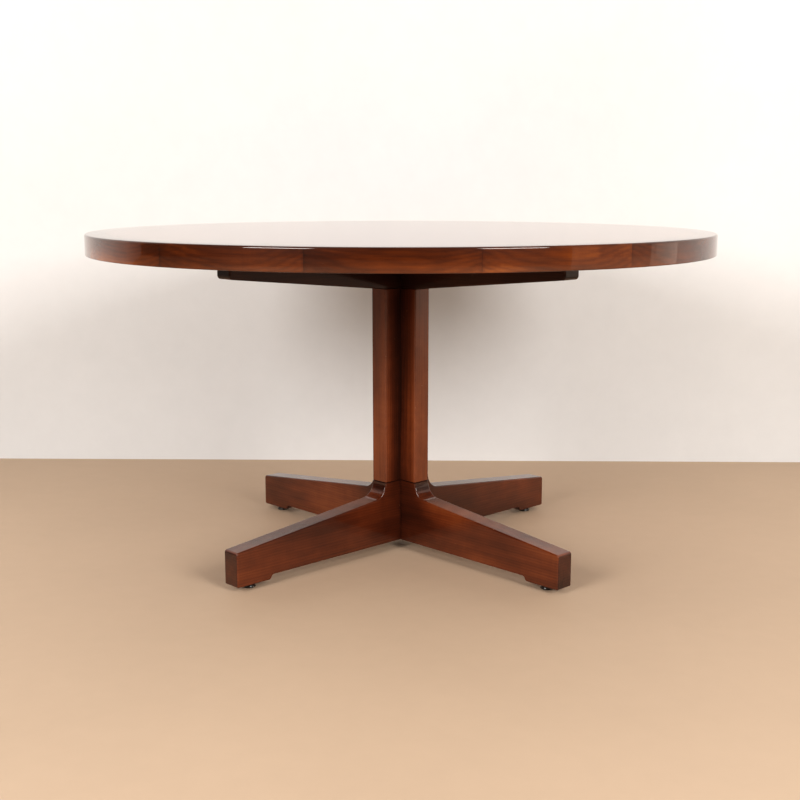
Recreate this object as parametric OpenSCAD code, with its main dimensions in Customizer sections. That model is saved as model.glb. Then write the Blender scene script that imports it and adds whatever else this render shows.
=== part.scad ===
// Round pedestal table: a thick veneered top with a segmented solid rim, carried by
// two crossed bearers, a cruciform column and two crossed leg beams on screw-in glides.
// Millimetres, +Z up. The origin is on the floor, under the column's axis, with the
// front of the table towards -Y and the legs on the diagonals.

/* [Overall] */
// Height of the table's upper face above the floor
table_h = 730; // [600:5:900]
// Diameter of the top
top_d = 1380; // [1100:10:1700]
// Thickness of the top at its rim
top_t = 45; // [38:1:60]
// Thickness of every board in the base: legs, column and bearers
board_t = 44; // [36:1:56]

/* [Top] */
// Radial width of the solid rim
rim_w = 44; // [32:1:70]
// Radius of the rim's upper arris
rim_round = 4; // [1:0.5:8]
// Radius of the rim's lower arris
rim_ease = 2; // [0.5:0.5:4]
// Thickness of each veneer
veneer_t = 0.9; // [0.6:0.1:2]
// Thickness of the tongues that key the rim to the core
tongue_t = 6; // [4:0.5:9]
// Reach of a tongue into the rim, and into the core
tongue_w = 14; // [8:1:20]

/* [Bearers] */
// Length of a bearer from the axis to its end
bearer_r = 489; // [380:1:560]
// Depth of a bearer at its ends
bearer_end_h = 38; // [30:1:60]
// Depth of a bearer beside the column
bearer_root_h = 81; // [60:1:110]
// Radius of the bearer's lower end corner
bearer_corner = 8; // [3:1:14]
// Distance of the inner bearer screws from the axis
screw_in = 190; // [100:5:240]
// Distance of the outer bearer screws from a bearer's end
screw_inset = 89; // [40:1:120]
// Diameter of a bearer screw's shank
screw_d = 5; // [4:0.5:6]
// Length of a bearer screw under its head
screw_l = 50; // [42:1:58]
// Diameter of a bearer screw's head
screw_head_d = 11; // [9:0.5:13]
// Height of a bearer screw's head
screw_head_h = 3.5; // [2.5:0.5:5]
// Wood left above the screw's counterbore
screw_seat = 28; // [24:1:32]

/* [Column] */
// Width of the column across two fins, at its top
column_top_w = 139; // [110:1:180]
// Width of the column across two fins, at its foot
column_foot_w = 136; // [110:1:180]
// Diameter of the dowels that join the column to the bearers and the legs
dowel_d = 12; // [8:1:14]
// Reach of those dowels into each piece
dowel_reach = 30; // [20:1:34]
// Distance of those dowels from the axis
dowel_at = 46; // [42:1:50]
// Diameter of the cross dowels between the board and the fins
cross_dowel_d = 8; // [6:1:10]
// Reach of a cross dowel into the board
cross_in_board = 11; // [6:1:12]
// Reach of a cross dowel into a fin
cross_in_fin = 20; // [12:1:24]
// Spacing of the cross dowels up the column
cross_pitch = 130; // [80:5:150]

/* [Tie rod] */
// Diameter of the tie rod
rod_d = 10; // [8:1:11]
// Diameter of the hole that the tie rod runs through
rod_hole_d = 12; // [12:0.5:15]
// Width across the flats of a nut
nut_af = 17; // [15:1:19]
// Height of a nut
nut_h = 8; // [6:0.5:10]
// Diameter of a washer
washer_d = 28; // [24:1:32]
// Thickness of a washer
washer_t = 2.5; // [1.5:0.5:4]
// Length of rod that stands out past each nut
rod_proud = 4; // [2:0.5:5]
// Depth of the counterbores that hide the nuts
nut_pocket_h = 18; // [16:0.5:24]
// Room between a washer and the wall of its counterbore
nut_pocket_gap = 2; // [1:0.5:3]

/* [Legs] */
// Length of a leg beam from the axis to its end
leg_r = 488; // [380:1:560]
// Height of the seam between the legs and the column
seam_h = 163.5; // [150:0.5:190]
// Height that the leg's sloping top would reach at the column's face
leg_root_h = 131; // [115:1:140]
// Height of the leg's sloping top at its end
leg_end_h = 85.5; // [70:0.5:110]
// Radius of the leg's upper end corner
leg_top_corner = 6; // [3:0.5:14]
// Radius of the leg's lower end corner
leg_low_corner = 4; // [2:0.5:8]
// Length of the pad under each foot
pad_l = 87; // [70:1:120]
// Height of the relief between the pads, above them
relief_h = 10; // [4:1:16]
// Run of the short ramp from the pad up to the relief
relief_run = 5; // [2:1:10]

/* [Glides] */
// Distance of a glide's centre from the leg's end
glide_inset = 46; // [30:1:60]
// Diameter of the glide's domed base
glide_d = 28; // [24:1:36]
// Height of the domed base with its cushion
glide_h = 7.2; // [6:0.1:10]
// Thickness of the nylon cushion
cushion_t = 1.4; // [1:0.1:2]
// Diameter of the nylon cushion
cushion_d = 24; // [18:1:24]
// Height of the hexagon collar on the stem
collar_h = 3.2; // [2.5:0.1:5]
// Width across the flats of the collar
collar_af = 13; // [12:1:17]
// Diameter of the stem's thread
stem_d = 8; // [6:1:10]
// Length of the stem above its collar
stem_l = 34; // [28:1:44]
// Diameter of the stem's foot, held in the base
stem_foot_d = 9; // [8:0.5:11]
// Height of the stem's foot
stem_foot_h = 2.4; // [2:0.1:3]
// Diameter of the stem's neck
stem_neck_d = 6; // [4:0.5:7]
// Diameter of the threaded insert's barrel
insert_d = 11.5; // [11.5:0.5:15]
// Depth of the threaded insert in the leg
insert_h = 16; // [12:1:22]
// Diameter of the insert's flange
insert_flange_d = 20; // [16:1:26]
// Thickness of the insert's flange
insert_flange_t = 1.6; // [1:0.1:2.5]

/* [Fits] */
// Glue line on each side of a curved or dowelled joint
glue_gap = 0.1; // [0.05:0.05:0.3]
// Room on each side of a cross-lap's cheeks
lap_gap = 0.1; // [0.05:0.05:0.4]
// Radial running clearance of a part that turns or slides in its hole
run_gap = 0.05; // [0.02:0.01:0.09]
// Room between two faces that move past each other
face_gap = 0.3; // [0.2:0.1:0.8]
// Spare depth at the bottom of a blind hole
blind_gap = 2; // [1:0.5:4]

/* [Hidden] */
$fn = 64;
eps = 0.01;

rim_count = 14;
rim_step = 360 / rim_count;
front = 270;
corners = [45, 135, 225, 315];

top_r = top_d / 2;
field_r = top_r - rim_w;
under_z = table_h - top_t;
tongue_z = under_z + top_t / 2;
tongue_share = 0.84;

bearer_root_z = under_z - bearer_root_h;
bearer_end_z = under_z - bearer_end_h;
bearer_lap_z = (bearer_root_z + under_z) / 2;
screw_head_z = under_z - screw_seat;
screw_at = [screw_in, bearer_r - screw_inset];

column_top_r = column_top_w / 2;
column_foot_r = column_foot_w / 2;
column_h = bearer_root_z - seam_h;
cross_z = [for (k = [-1, 0, 1]) seam_h + column_h / 2 + k * cross_pitch];

pad_z = glide_h + face_gap + collar_h + face_gap;
relief_z = pad_z + relief_h;
pad_in_r = leg_r - pad_l;
relief_r = pad_in_r - relief_run;
leg_lap_z = (relief_z + seam_h) / 2;
leg_slope = atan((leg_root_h - leg_end_h) / (leg_r - column_foot_r));
fillet_r = (seam_h - leg_root_h) * cos(leg_slope) / (1 - sin(leg_slope));

low_seat_z = relief_z + nut_pocket_h;
high_seat_z = under_z - nut_pocket_h;
rod_low_z = low_seat_z - washer_t - nut_h - rod_proud;
rod_high_z = high_seat_z + washer_t + nut_h + rod_proud;

foot_z = cushion_t + 1.2;
collar_z = glide_h + face_gap;
shank_z = collar_z + collar_h;
stem_hole_z = shank_z + stem_l + blind_gap;
glide_at = leg_r - glide_inset;

function rim_name(i) = str("rim_segment_", i < 9 ? "0" : "", i + 1);
function corner_name(part, i) = str(part, "_", i + 1);

// ---- outlines -------------------------------------------------------------------

// Points of an arc about [x, y] from angle a0 to a1, both ends included.
function arc(x, y, r, a0, a1, steps) =
    [for (k = [0 : steps]) let (a = a0 + (a1 - a0) * k / steps) [x + r * cos(a), y + r * sin(a)]];

// An outline drawn for r >= 0 and its mirror image, as one closed outline.
function both_sides(half) =
    concat(half, [for (k = [len(half) - 1 : -1 : 0]) [-half[k][0], half[k][1]]]);

// A leg from the axis outwards: relief, ramp, pad, rounded end, slope, fillet, seam.
function leg_half() = concat(
    [[0, relief_z], [relief_r, relief_z], [pad_in_r, pad_z]],
    arc(leg_r - leg_low_corner, pad_z + leg_low_corner, leg_low_corner, -90, 0, 6),
    arc(leg_r - leg_top_corner, leg_end_h - leg_top_corner + leg_top_corner * sin(leg_slope),
        leg_top_corner, 0, 90 - leg_slope, 6),
    arc(column_foot_r + fillet_r, seam_h, fillet_r, 270 - leg_slope, 180, 18),
    [[0, seam_h]]);

// A bearer from the axis outwards: level root, taper, rounded end, level top.
function bearer_half() = concat(
    [[0, bearer_root_z], [column_top_r, bearer_root_z]],
    arc(bearer_r - bearer_corner, bearer_end_z + bearer_corner, bearer_corner, -84, 0, 6),
    [[bearer_r, under_z], [0, under_z]]);

// A board of the base: an outline in r and z, extruded to the boards' thickness.
module board(outline, turn) {
    rotate([0, 0, turn])
        rotate([90, 0, 0])
            translate([0, 0, -board_t / 2])
                linear_extrude(board_t)
                    polygon(outline);
}

// The notch of a cross-lap, from z0 to z1, a board's thickness wide.
module lap_notch(z0, z1) {
    notch_w = board_t + 2 * lap_gap;
    translate([-notch_w / 2, -notch_w, z0])
        cube([notch_w, 2 * notch_w, z1 - z0]);
}

// Puts a child at distance r along each of the four diagonals.
module at_corners(r) {
    for (a = corners) rotate([0, 0, a]) translate([r, 0, 0]) children();
}

// ---- top ------------------------------------------------------------------------

module face_veneer() {
    color("#8a4a26")
        translate([0, 0, table_h - veneer_t])
            cylinder(h = veneer_t, r = field_r - glue_gap);
}

module backing_veneer() {
    color("#7a4a2c")
        translate([0, 0, under_z])
            difference() {
                cylinder(h = veneer_t, r = field_r - glue_gap);
                screw_holes(0);
            }
}

// The core board, grooved round its edge, with the screws' pilot holes.
module top_core() {
    groove_r = field_r - tongue_w - glue_gap;
    groove_h = tongue_t + 2 * glue_gap;
    color("#c8a878")
        difference() {
            translate([0, 0, under_z + veneer_t])
                cylinder(h = top_t - 2 * veneer_t, r = field_r - glue_gap);
            translate([0, 0, tongue_z - groove_h / 2])
                difference() {
                    cylinder(h = groove_h, r = top_r);
                    translate([0, 0, -eps]) cylinder(h = groove_h + 2 * eps, r = groove_r);
                }
            translate([0, 0, under_z]) screw_holes(blind_gap);
        }
}

// Pilot holes for the bearer screws, up from z = 0 for their reach past the bearers.
module screw_holes(spare) {
    reach = screw_l - screw_seat;
    for (r = screw_at)
        at_corners(r)
            translate([0, 0, -eps]) cylinder(h = reach + spare + eps, r = screw_d / 2 + run_gap);
}

// One solid segment of the rim, with its rounded arrises and the groove for its tongue.
module rim_segment(i) {
    h = top_t;
    groove_h = tongue_t + 2 * glue_gap;
    groove_r = field_r + tongue_w + glue_gap;
    profile = concat(
        [[field_r, 0]],
        arc(top_r - rim_ease, rim_ease, rim_ease, -90, 0, 6),
        arc(top_r - rim_round, h - rim_round, rim_round, 0, 90, 8),
        [[field_r, h], [field_r, h / 2 + groove_h / 2], [groove_r, h / 2 + groove_h / 2],
         [groove_r, h / 2 - groove_h / 2], [field_r, h / 2 - groove_h / 2]]);
    color(i % 2 == 0 ? "#7c3a1e" : "#6c3018")
        rotate([0, 0, front + (i - 0.5) * rim_step])
            translate([0, 0, under_z])
                rotate_extrude(angle = rim_step) polygon(profile);
}

// The loose tongues, one behind each rim segment.
module rim_tongues() {
    sweep = rim_step * tongue_share;
    color("#d8bc8c")
        for (i = [0 : rim_count - 1])
            rotate([0, 0, front + i * rim_step - sweep / 2])
                translate([0, 0, tongue_z - tongue_t / 2])
                    rotate_extrude(angle = sweep)
                        translate([field_r - tongue_w, 0]) square([2 * tongue_w, tongue_t]);
}

// ---- bearers --------------------------------------------------------------------

// Counterbored screw holes along one bearer that lies along X.
module bearer_screw_cuts() {
    for (r = screw_at)
        for (side = [-1, 1])
            translate([side * r, 0, 0]) {
                translate([0, 0, bearer_root_z - eps])
                    cylinder(h = screw_head_z - bearer_root_z + eps, r = screw_head_d / 2 + glue_gap * 5);
                translate([0, 0, screw_head_z - eps])
                    cylinder(h = screw_seat + 1, r = screw_d / 2 + run_gap);
            }
}

// Blind holes for the two column dowels that enter one board, which lies along X.
module dowel_pair(z, reach, d) {
    for (side = [-1, 1])
        translate([side * dowel_at, 0, z]) cylinder(h = reach, r = d / 2 + glue_gap / 2);
}

module bearer_a() {
    color("#4a2818")
        rotate([0, 0, 45])
            difference() {
                board(both_sides(bearer_half()), 0);
                lap_notch(bearer_lap_z, under_z + 1);
                bearer_screw_cuts();
                dowel_pair(bearer_root_z - 1, dowel_reach + 1 + blind_gap, dowel_d);
                translate([0, 0, bearer_root_z - 1]) cylinder(h = bearer_root_h, r = rod_hole_d / 2);
            }
}

module bearer_b() {
    color("#43230f")
        rotate([0, 0, 135])
            difference() {
                board(both_sides(bearer_half()), 0);
                lap_notch(bearer_root_z - 1, bearer_lap_z);
                bearer_screw_cuts();
                dowel_pair(bearer_root_z - 1, dowel_reach + 1 + blind_gap, dowel_d);
                translate([0, 0, bearer_root_z]) cylinder(h = bearer_root_h, r = rod_hole_d / 2);
                translate([0, 0, high_seat_z])
                    cylinder(h = nut_pocket_h + 1, r = washer_d / 2 + nut_pocket_gap);
            }
}

// One slotted wood screw, head at z = 0 and pointing up.
module wood_screw() {
    tip_l = screw_d;
    slot_w = 1.2;
    slot_h = 1.4;
    difference() {
        translate([0, 0, -screw_head_h]) cylinder(h = screw_head_h, r = screw_head_d / 2);
        translate([-screw_head_d, -slot_w / 2, -screw_head_h - 1])
            cube([2 * screw_head_d, slot_w, slot_h + 1]);
    }
    cylinder(h = screw_l - tip_l, r = screw_d / 2);
    translate([0, 0, screw_l - tip_l]) cylinder(h = tip_l, r1 = screw_d / 2, r2 = 0.4);
}

module bearer_screws() {
    color("#b8a878")
        for (r = screw_at)
            at_corners(r) translate([0, 0, screw_head_z]) wood_screw();
}

// ---- column ---------------------------------------------------------------------

// The wide board of the column, with its two tapered edges.
module column_board() {
    outline = [[-column_foot_r, seam_h], [column_foot_r, seam_h],
               [column_top_r, bearer_root_z], [-column_top_r, bearer_root_z]];
    color("#7a3c20")
        rotate([0, 0, 45])
            difference() {
                board(outline, 0);
                column_dowel_holes();
                column_cross_holes();
                translate([0, 0, seam_h - 1]) cylinder(h = column_h + 2, r = rod_hole_d / 2);
            }
}

// The column's own ends of the dowels that enter the legs and the bearers.
module column_dowel_holes() {
    dowel_pair(seam_h - 1, dowel_reach + 1 + blind_gap, dowel_d);
    dowel_pair(bearer_root_z - dowel_reach - blind_gap, dowel_reach + 1 + blind_gap, dowel_d);
}

// Holes for the cross dowels, along Y through the joints between board and fins.
module column_cross_holes() {
    r = cross_dowel_d / 2 + glue_gap / 2;
    for (z = cross_z)
        for (side = [-1, 1])
            translate([0, side * (board_t / 2 - cross_in_board - glue_gap), z])
                rotate([-90 * side, 0, 0])
                    cylinder(h = cross_in_board + cross_in_fin + 2 * glue_gap, r = r);
}

// A fin, glued to one face of the board: side 1 is towards +Y before the turn.
module column_fin(side) {
    outline = [[board_t / 2, seam_h], [column_foot_r, seam_h],
               [column_top_r, bearer_root_z], [board_t / 2, bearer_root_z]];
    rotate([0, 0, 45])
        difference() {
            rotate([0, 0, side > 0 ? 90 : -90]) board(outline, 0);
            rotate([0, 0, 90]) column_dowel_holes();
            column_cross_holes();
        }
}

module column_fin_left() {
    color("#743820") column_fin(1);
}

module column_fin_right() {
    color("#743820") column_fin(-1);
}

module column_cross_dowels() {
    color("#d8bc8c")
        rotate([0, 0, 45])
            for (z = cross_z)
                for (side = [-1, 1])
                    translate([0, side * (board_t / 2 - cross_in_board), z])
                        rotate([-90 * side, 0, 0])
                            cylinder(h = cross_in_board + cross_in_fin, r = cross_dowel_d / 2);
}

// Four upright dowels, centred on the joint at height z.
module upright_dowels(z) {
    color("#d8bc8c")
        at_corners(dowel_at)
            translate([0, 0, z - dowel_reach]) cylinder(h = 2 * dowel_reach, r = dowel_d / 2);
}

module bearer_dowels() {
    upright_dowels(bearer_root_z);
}

module leg_dowels() {
    upright_dowels(seam_h);
}

// ---- tie rod --------------------------------------------------------------------

module tie_rod() {
    color("#a8a8a4")
        translate([0, 0, rod_low_z]) cylinder(h = rod_high_z - rod_low_z, r = rod_d / 2);
}

// A hexagon prism measured across its flats, standing on z = 0.
module hexagon(af, h) {
    cylinder(h = h, r = af / 2 / cos(30), $fn = 6);
}

module tie_rod_nuts() {
    color("#9c9c98")
        for (z = [low_seat_z - washer_t - nut_h, high_seat_z + washer_t])
            translate([0, 0, z])
                difference() {
                    hexagon(nut_af, nut_h);
                    translate([0, 0, -1]) cylinder(h = nut_h + 2, r = rod_d / 2 + run_gap);
                }
}

module tie_rod_washers() {
    color("#9c9c98")
        for (z = [low_seat_z - washer_t, high_seat_z])
            translate([0, 0, z])
                difference() {
                    cylinder(h = washer_t, r = washer_d / 2);
                    translate([0, 0, -1]) cylinder(h = washer_t + 2, r = rod_d / 2 + run_gap);
                }
}

// ---- legs -----------------------------------------------------------------------

// Hole under each foot for the insert's flange, its barrel and the stem's tip.
module insert_cuts() {
    for (side = [-1, 1])
        translate([side * glide_at, 0, pad_z]) {
            translate([0, 0, -1])
                cylinder(h = insert_flange_t + 1, r = insert_flange_d / 2 + glue_gap);
            cylinder(h = insert_h + glue_gap, r = insert_d / 2 + glue_gap / 2);
            cylinder(h = stem_hole_z - pad_z, r = stem_d / 2 + 0.6);
        }
}

module leg_beam_a() {
    color("#5c2c1c")
        rotate([0, 0, 45])
            difference() {
                board(both_sides(leg_half()), 0);
                lap_notch(leg_lap_z, seam_h + 1);
                dowel_pair(seam_h - dowel_reach - blind_gap, dowel_reach + blind_gap + 1, dowel_d);
                insert_cuts();
                translate([0, 0, relief_z - 1]) cylinder(h = seam_h, r = rod_hole_d / 2);
                translate([0, 0, relief_z - 1])
                    cylinder(h = nut_pocket_h + 1, r = washer_d / 2 + nut_pocket_gap);
            }
}

module leg_beam_b() {
    color("#54281a")
        rotate([0, 0, 135])
            difference() {
                board(both_sides(leg_half()), 0);
                lap_notch(relief_z - 1, leg_lap_z);
                dowel_pair(seam_h - dowel_reach - blind_gap, dowel_reach + blind_gap + 1, dowel_d);
                insert_cuts();
                translate([0, 0, relief_z]) cylinder(h = seam_h, r = rod_hole_d / 2);
            }
}

// ---- glides ---------------------------------------------------------------------

// Moves a child under corner i's foot.
module under_foot(i) {
    rotate([0, 0, corners[i]]) translate([glide_at, 0, 0]) children();
}

module glide_insert(i) {
    color("#a8a490")
        under_foot(i)
            translate([0, 0, pad_z])
                difference() {
                    union() {
                        cylinder(h = insert_flange_t, r = insert_flange_d / 2);
                        cylinder(h = insert_h, r = insert_d / 2);
                    }
                    translate([0, 0, -1]) cylinder(h = insert_h + 2, r = stem_d / 2 + run_gap);
                }
}

// The stem: a foot held in the base, a neck, a hexagon collar and the threaded shank.
module glide_stem(i) {
    color("#8c8c88")
        under_foot(i) {
            translate([0, 0, foot_z]) cylinder(h = stem_foot_h, r = stem_foot_d / 2);
            translate([0, 0, foot_z]) cylinder(h = collar_z - foot_z + eps, r = stem_neck_d / 2);
            translate([0, 0, collar_z]) hexagon(collar_af, collar_h);
            translate([0, 0, shank_z - eps]) cylinder(h = stem_l + eps, r = stem_d / 2);
        }
}

// The domed base, closed round the stem's foot.
module glide_base(i) {
    rise = glide_h - cushion_t - 1;
    crown_r = collar_af / 2;
    dome_w = glide_d / 2 - crown_r;
    profile = concat(
        [[0, cushion_t], [glide_d / 2 - 0.5, cushion_t], [glide_d / 2, cushion_t + 0.5]],
        [for (a = [0 : 10 : 90]) [crown_r + dome_w * cos(a), cushion_t + 1 + rise * sin(a)]],
        [[0, glide_h]]);
    color("#2a2624")
        under_foot(i)
            difference() {
                rotate_extrude() polygon(profile);
                translate([0, 0, foot_z - glue_gap])
                    cylinder(h = stem_foot_h + 2 * glue_gap, r = stem_foot_d / 2 + run_gap);
                translate([0, 0, foot_z]) cylinder(h = glide_h, r = stem_neck_d / 2 + run_gap);
            }
}

module glide_cushion(i) {
    ease = 0.4;
    color("#1c1a1a")
        under_foot(i)
            rotate_extrude()
                polygon([[0, 0], [cushion_d / 2 - ease, 0], [cushion_d / 2, ease],
                         [cushion_d / 2, cushion_t], [0, cushion_t]]);
}

face_veneer();
top_core();
backing_veneer();
rim_tongues();
for (i = [0 : rim_count - 1]) rim_segment(i);
bearer_a();
bearer_b();
bearer_screws();
column_board();
column_fin_left();
column_fin_right();
column_cross_dowels();
bearer_dowels();
leg_dowels();
tie_rod();
tie_rod_nuts();
tie_rod_washers();
leg_beam_a();
leg_beam_b();
for (i = [0 : 3]) glide_insert(i);
for (i = [0 : 3]) glide_stem(i);
for (i = [0 : 3]) glide_base(i);
for (i = [0 : 3]) glide_cushion(i);
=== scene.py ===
"""The looks of a round pedestal table, built up in the order in which it is put together."""

import math

import bmesh
import bpy
import numpy as np
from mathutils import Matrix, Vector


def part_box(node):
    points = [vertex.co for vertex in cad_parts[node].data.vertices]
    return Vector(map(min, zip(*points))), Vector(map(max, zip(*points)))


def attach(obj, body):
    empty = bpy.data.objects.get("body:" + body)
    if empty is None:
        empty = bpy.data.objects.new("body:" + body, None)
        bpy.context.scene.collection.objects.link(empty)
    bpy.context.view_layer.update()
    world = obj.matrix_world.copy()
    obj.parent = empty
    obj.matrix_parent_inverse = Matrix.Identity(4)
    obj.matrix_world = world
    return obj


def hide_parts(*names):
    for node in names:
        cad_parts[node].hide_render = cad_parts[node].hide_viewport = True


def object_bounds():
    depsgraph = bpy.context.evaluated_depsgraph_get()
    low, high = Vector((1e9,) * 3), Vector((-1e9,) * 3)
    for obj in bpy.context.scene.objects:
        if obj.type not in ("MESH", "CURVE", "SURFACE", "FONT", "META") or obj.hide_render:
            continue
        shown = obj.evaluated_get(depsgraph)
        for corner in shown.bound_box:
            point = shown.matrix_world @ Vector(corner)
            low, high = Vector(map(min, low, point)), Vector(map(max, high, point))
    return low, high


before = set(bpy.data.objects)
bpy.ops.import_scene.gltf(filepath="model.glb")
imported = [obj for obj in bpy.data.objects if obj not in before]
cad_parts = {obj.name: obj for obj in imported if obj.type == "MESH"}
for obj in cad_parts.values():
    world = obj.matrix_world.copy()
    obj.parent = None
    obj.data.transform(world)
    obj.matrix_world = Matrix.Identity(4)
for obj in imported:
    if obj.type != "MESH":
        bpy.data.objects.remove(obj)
cad_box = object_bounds()

# ---- Glide cushions ---------------------------------------------------------------
# A disc of black nylon is pressed into the underside of each glide. The whole table
# stands on these four discs, so each one has a flat face and an eased edge.


class Wire:
    """One output of a shader node. Arithmetic on it adds the Math nodes of the formula."""

    def __init__(self, finish, socket):
        self.finish = finish
        self.socket = socket

    def math(self, operation, *values):
        return self.finish.node("ShaderNodeMath", {"operation": operation}, dict(enumerate(values)))

    def __add__(self, other):
        return self.math("ADD", self, other)

    def __sub__(self, other):
        return self.math("SUBTRACT", self, other)

    def __mul__(self, other):
        return self.math("MULTIPLY", self, other)

    def __truediv__(self, other):
        return self.math("DIVIDE", self, other)

    def __pow__(self, other):
        return self.math("POWER", self, other)

    def __radd__(self, other):
        return self.math("ADD", other, self)

    def __rsub__(self, other):
        return self.math("SUBTRACT", other, self)

    def __rmul__(self, other):
        return self.math("MULTIPLY", other, self)

    def fraction(self):
        return self.math("FRACT", self)

    def absolute(self):
        return self.math("ABSOLUTE", self)

    def step(self, low, high):
        """0 below low, 1 above high, and a smooth rise between them."""
        settings = {"interpolation_type": "SMOOTHSTEP", "clamp": True}
        return self.finish.node("ShaderNodeMapRange", settings, {0: self, 1: low, 2: high})


class Finish:
    """A material in the making: one Principled shader and what feeds it."""

    def __init__(self, name, **constants):
        self.material = bpy.data.materials.new(name)
        self.material.use_nodes = True
        self.tree = self.material.node_tree
        self.tree.nodes.clear()
        self.shader = self.tree.nodes.new("ShaderNodeBsdfPrincipled")
        output = self.tree.nodes.new("ShaderNodeOutputMaterial")
        self.tree.links.new(self.shader.outputs[0], output.inputs[0])
        for socket, value in constants.items():
            self.set(socket.replace("_", " ").title().replace("Ior", "IOR"), value)

    def set(self, name, value):
        """Puts a number, a colour or a Wire into one of the shader's sockets."""
        if isinstance(value, Wire):
            self.tree.links.new(value.socket, self.shader.inputs[name])
        else:
            self.shader.inputs[name].default_value = value

    def node(self, kind, settings=None, values=None, output=0):
        """Any other node: its settings are set first, and then its sockets."""
        node = self.tree.nodes.new(kind)
        for name, value in (settings or {}).items():
            if name == "stops":
                ramp = node.color_ramp.elements
                while len(ramp) < len(value):
                    ramp.new(0.5)
                for stop, (place, colour) in zip(ramp, value):
                    stop.position = place
                    stop.color = (*colour, 1)
            else:
                setattr(node, name, value)
        for name, value in (values or {}).items():
            if isinstance(value, Wire):
                self.tree.links.new(value.socket, node.inputs[name])
            else:
                node.inputs[name].default_value = value
        return Wire(self, node.outputs[output])

    def object_place(self):
        return self.node("ShaderNodeTexCoord", output="Object")

    def parts(self, vector):
        """The three numbers of a vector."""
        split = self.node("ShaderNodeSeparateXYZ", {}, {0: vector})
        return [Wire(self, output) for output in split.socket.node.outputs]

    def stretch(self, place, by):
        """A vector multiplied, axis by axis."""
        return self.node("ShaderNodeVectorMath", {"operation": "MULTIPLY"}, {0: place, 1: by})

    def noise(self, place, scale=1.0, detail=2.0, roughness=0.5):
        """Smooth noise about 0: most of it lies between -0.5 and 0.5."""
        values = {"Vector": place, "Scale": scale, "Detail": detail, "Roughness": roughness}
        return self.node("ShaderNodeTexNoise", {}, values) - 0.5

    def mix(self, factor, low, high):
        """The colour low where factor is 0 and high where it is 1."""
        settings = {"data_type": "RGBA"}
        return self.node("ShaderNodeMix", settings, {0: factor, 6: low, 7: high}, output=2)

    def ramp(self, factor, stops):
        return self.node("ShaderNodeValToRGB", {"stops": stops}, {0: factor})

    def bump(self, height, depth):
        """Relief of the given depth, in metres, where height is 1."""
        values = {"Height": height, "Distance": depth, "Strength": 1.0}
        self.set("Normal", self.node("ShaderNodeBump", {}, values))


def solid(name, points, faces, crease=32):
    """A closed mesh from points and faces, smooth-shaded up to the crease angle in degrees."""
    mesh = bpy.data.meshes.new(name)
    mesh.from_pydata(points.reshape(-1, 3).tolist(), [], faces)
    work = bmesh.new()
    work.from_mesh(mesh)
    bmesh.ops.recalc_face_normals(work, faces=work.faces[:])
    work.to_mesh(mesh)
    work.free()
    mesh.shade_smooth()
    mesh.set_sharp_from_angle(angle=math.radians(crease))
    piece = bpy.data.objects.new(name, mesh)
    bpy.context.scene.collection.objects.link(piece)
    return piece


def grid_faces(rows, columns, loop=False):
    """Four-cornered faces between neighbours on a grid whose last column meets its first.
    A loop joins the last row to the first too. Without one, both end rows are capped."""
    index = np.arange(rows * columns).reshape(rows, columns)
    caps = [] if loop else [index[0, ::-1].tolist(), index[-1].tolist()]
    index = np.hstack([index, index[:, :1]])
    if loop:
        index = np.vstack([index, index[:1]])
    corners = [index[:-1, :-1], index[:-1, 1:], index[1:, 1:], index[1:, :-1]]
    return np.stack(corners, -1).reshape(-1, 4).tolist() + caps


def lathe(name, radius, height, centre=(0, 0), steps=64, loop=False, crease=32):
    """A surface turned about an upright axis through centre. Row k at angle a is the point
    (centre + radius[k, a] (cos a, sin a), height[k, a]). A looped profile closes on itself,
    and an open one is closed by a flat cap at each end."""
    radius = np.asarray(radius, float)
    height = np.asarray(height, float)
    radius = radius[:, None] if radius.ndim == 1 else radius
    height = height[:, None] if height.ndim == 1 else height
    steps = radius.shape[1] if radius.shape[1] > 1 else steps
    angle = np.linspace(0, 2 * math.pi, steps, endpoint=False)
    x = centre[0] + radius * np.cos(angle)
    y = centre[1] + radius * np.sin(angle)
    points = np.stack([x, y, height + np.zeros_like(x)], -1)
    return solid(name, points, grid_faces(len(points), steps, loop), crease)


def arc(centre, radius, start, end, steps):
    """Points on an arc about centre, from angle start to end in degrees, both ends included."""
    angle = np.radians(np.linspace(start, end, steps + 1))
    return np.stack([centre[0] + radius * np.cos(angle), centre[1] + radius * np.sin(angle)], -1)


def fit_out(piece, finish, body, slot, *nodes):
    """Gives a piece its material and the body that it moves with, and hides the CAD nodes that it
    stands for.
    """
    piece.data.materials.clear()
    piece.data.materials.append(finish.material)
    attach(piece, body)
    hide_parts(*nodes)
    return piece


def nylon():
    """Moulded nylon: nearly black, matt, and scuffed grey where it slides on the floor."""
    finish = Finish("black nylon", specular_ior_level=0.4)
    place = finish.object_place()
    scuff = finish.noise(place, 260, 5, 0.6).step(0.02, 0.3)
    finish.set("Base Color", finish.mix(scuff, (0.012, 0.011, 0.010, 1), (0.05, 0.046, 0.042, 1)))
    finish.set("Roughness", 0.5 + 0.25 * scuff)
    finish.bump(scuff, 0.00008)
    return finish


cushion_finish = nylon()
cushion_ease = 0.0004
feet = range(1, 5)


def foot_centre(number):
    """The point on the floor under a glide's centre."""
    low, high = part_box(f"glide_cushion_{number}")
    return ((low.x + high.x) / 2, (low.y + high.y) / 2)


for number in feet:
    low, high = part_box(f"glide_cushion_{number}")
    rim = (high.x - low.x) / 2
    profile = np.vstack([
        [[rim * 0.4, 0.0]],
        arc((rim - cushion_ease, cushion_ease), cushion_ease, -90, 0, 4),
        [[rim, high.z], [rim * 0.4, high.z]],
    ])
    cushion = lathe(f"cushion_{number}", profile[:, 0], profile[:, 1], foot_centre(number))
    fit_out(cushion, cushion_finish, f"foot_{number}", "glide_nylon", f"glide_cushion_{number}")

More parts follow.
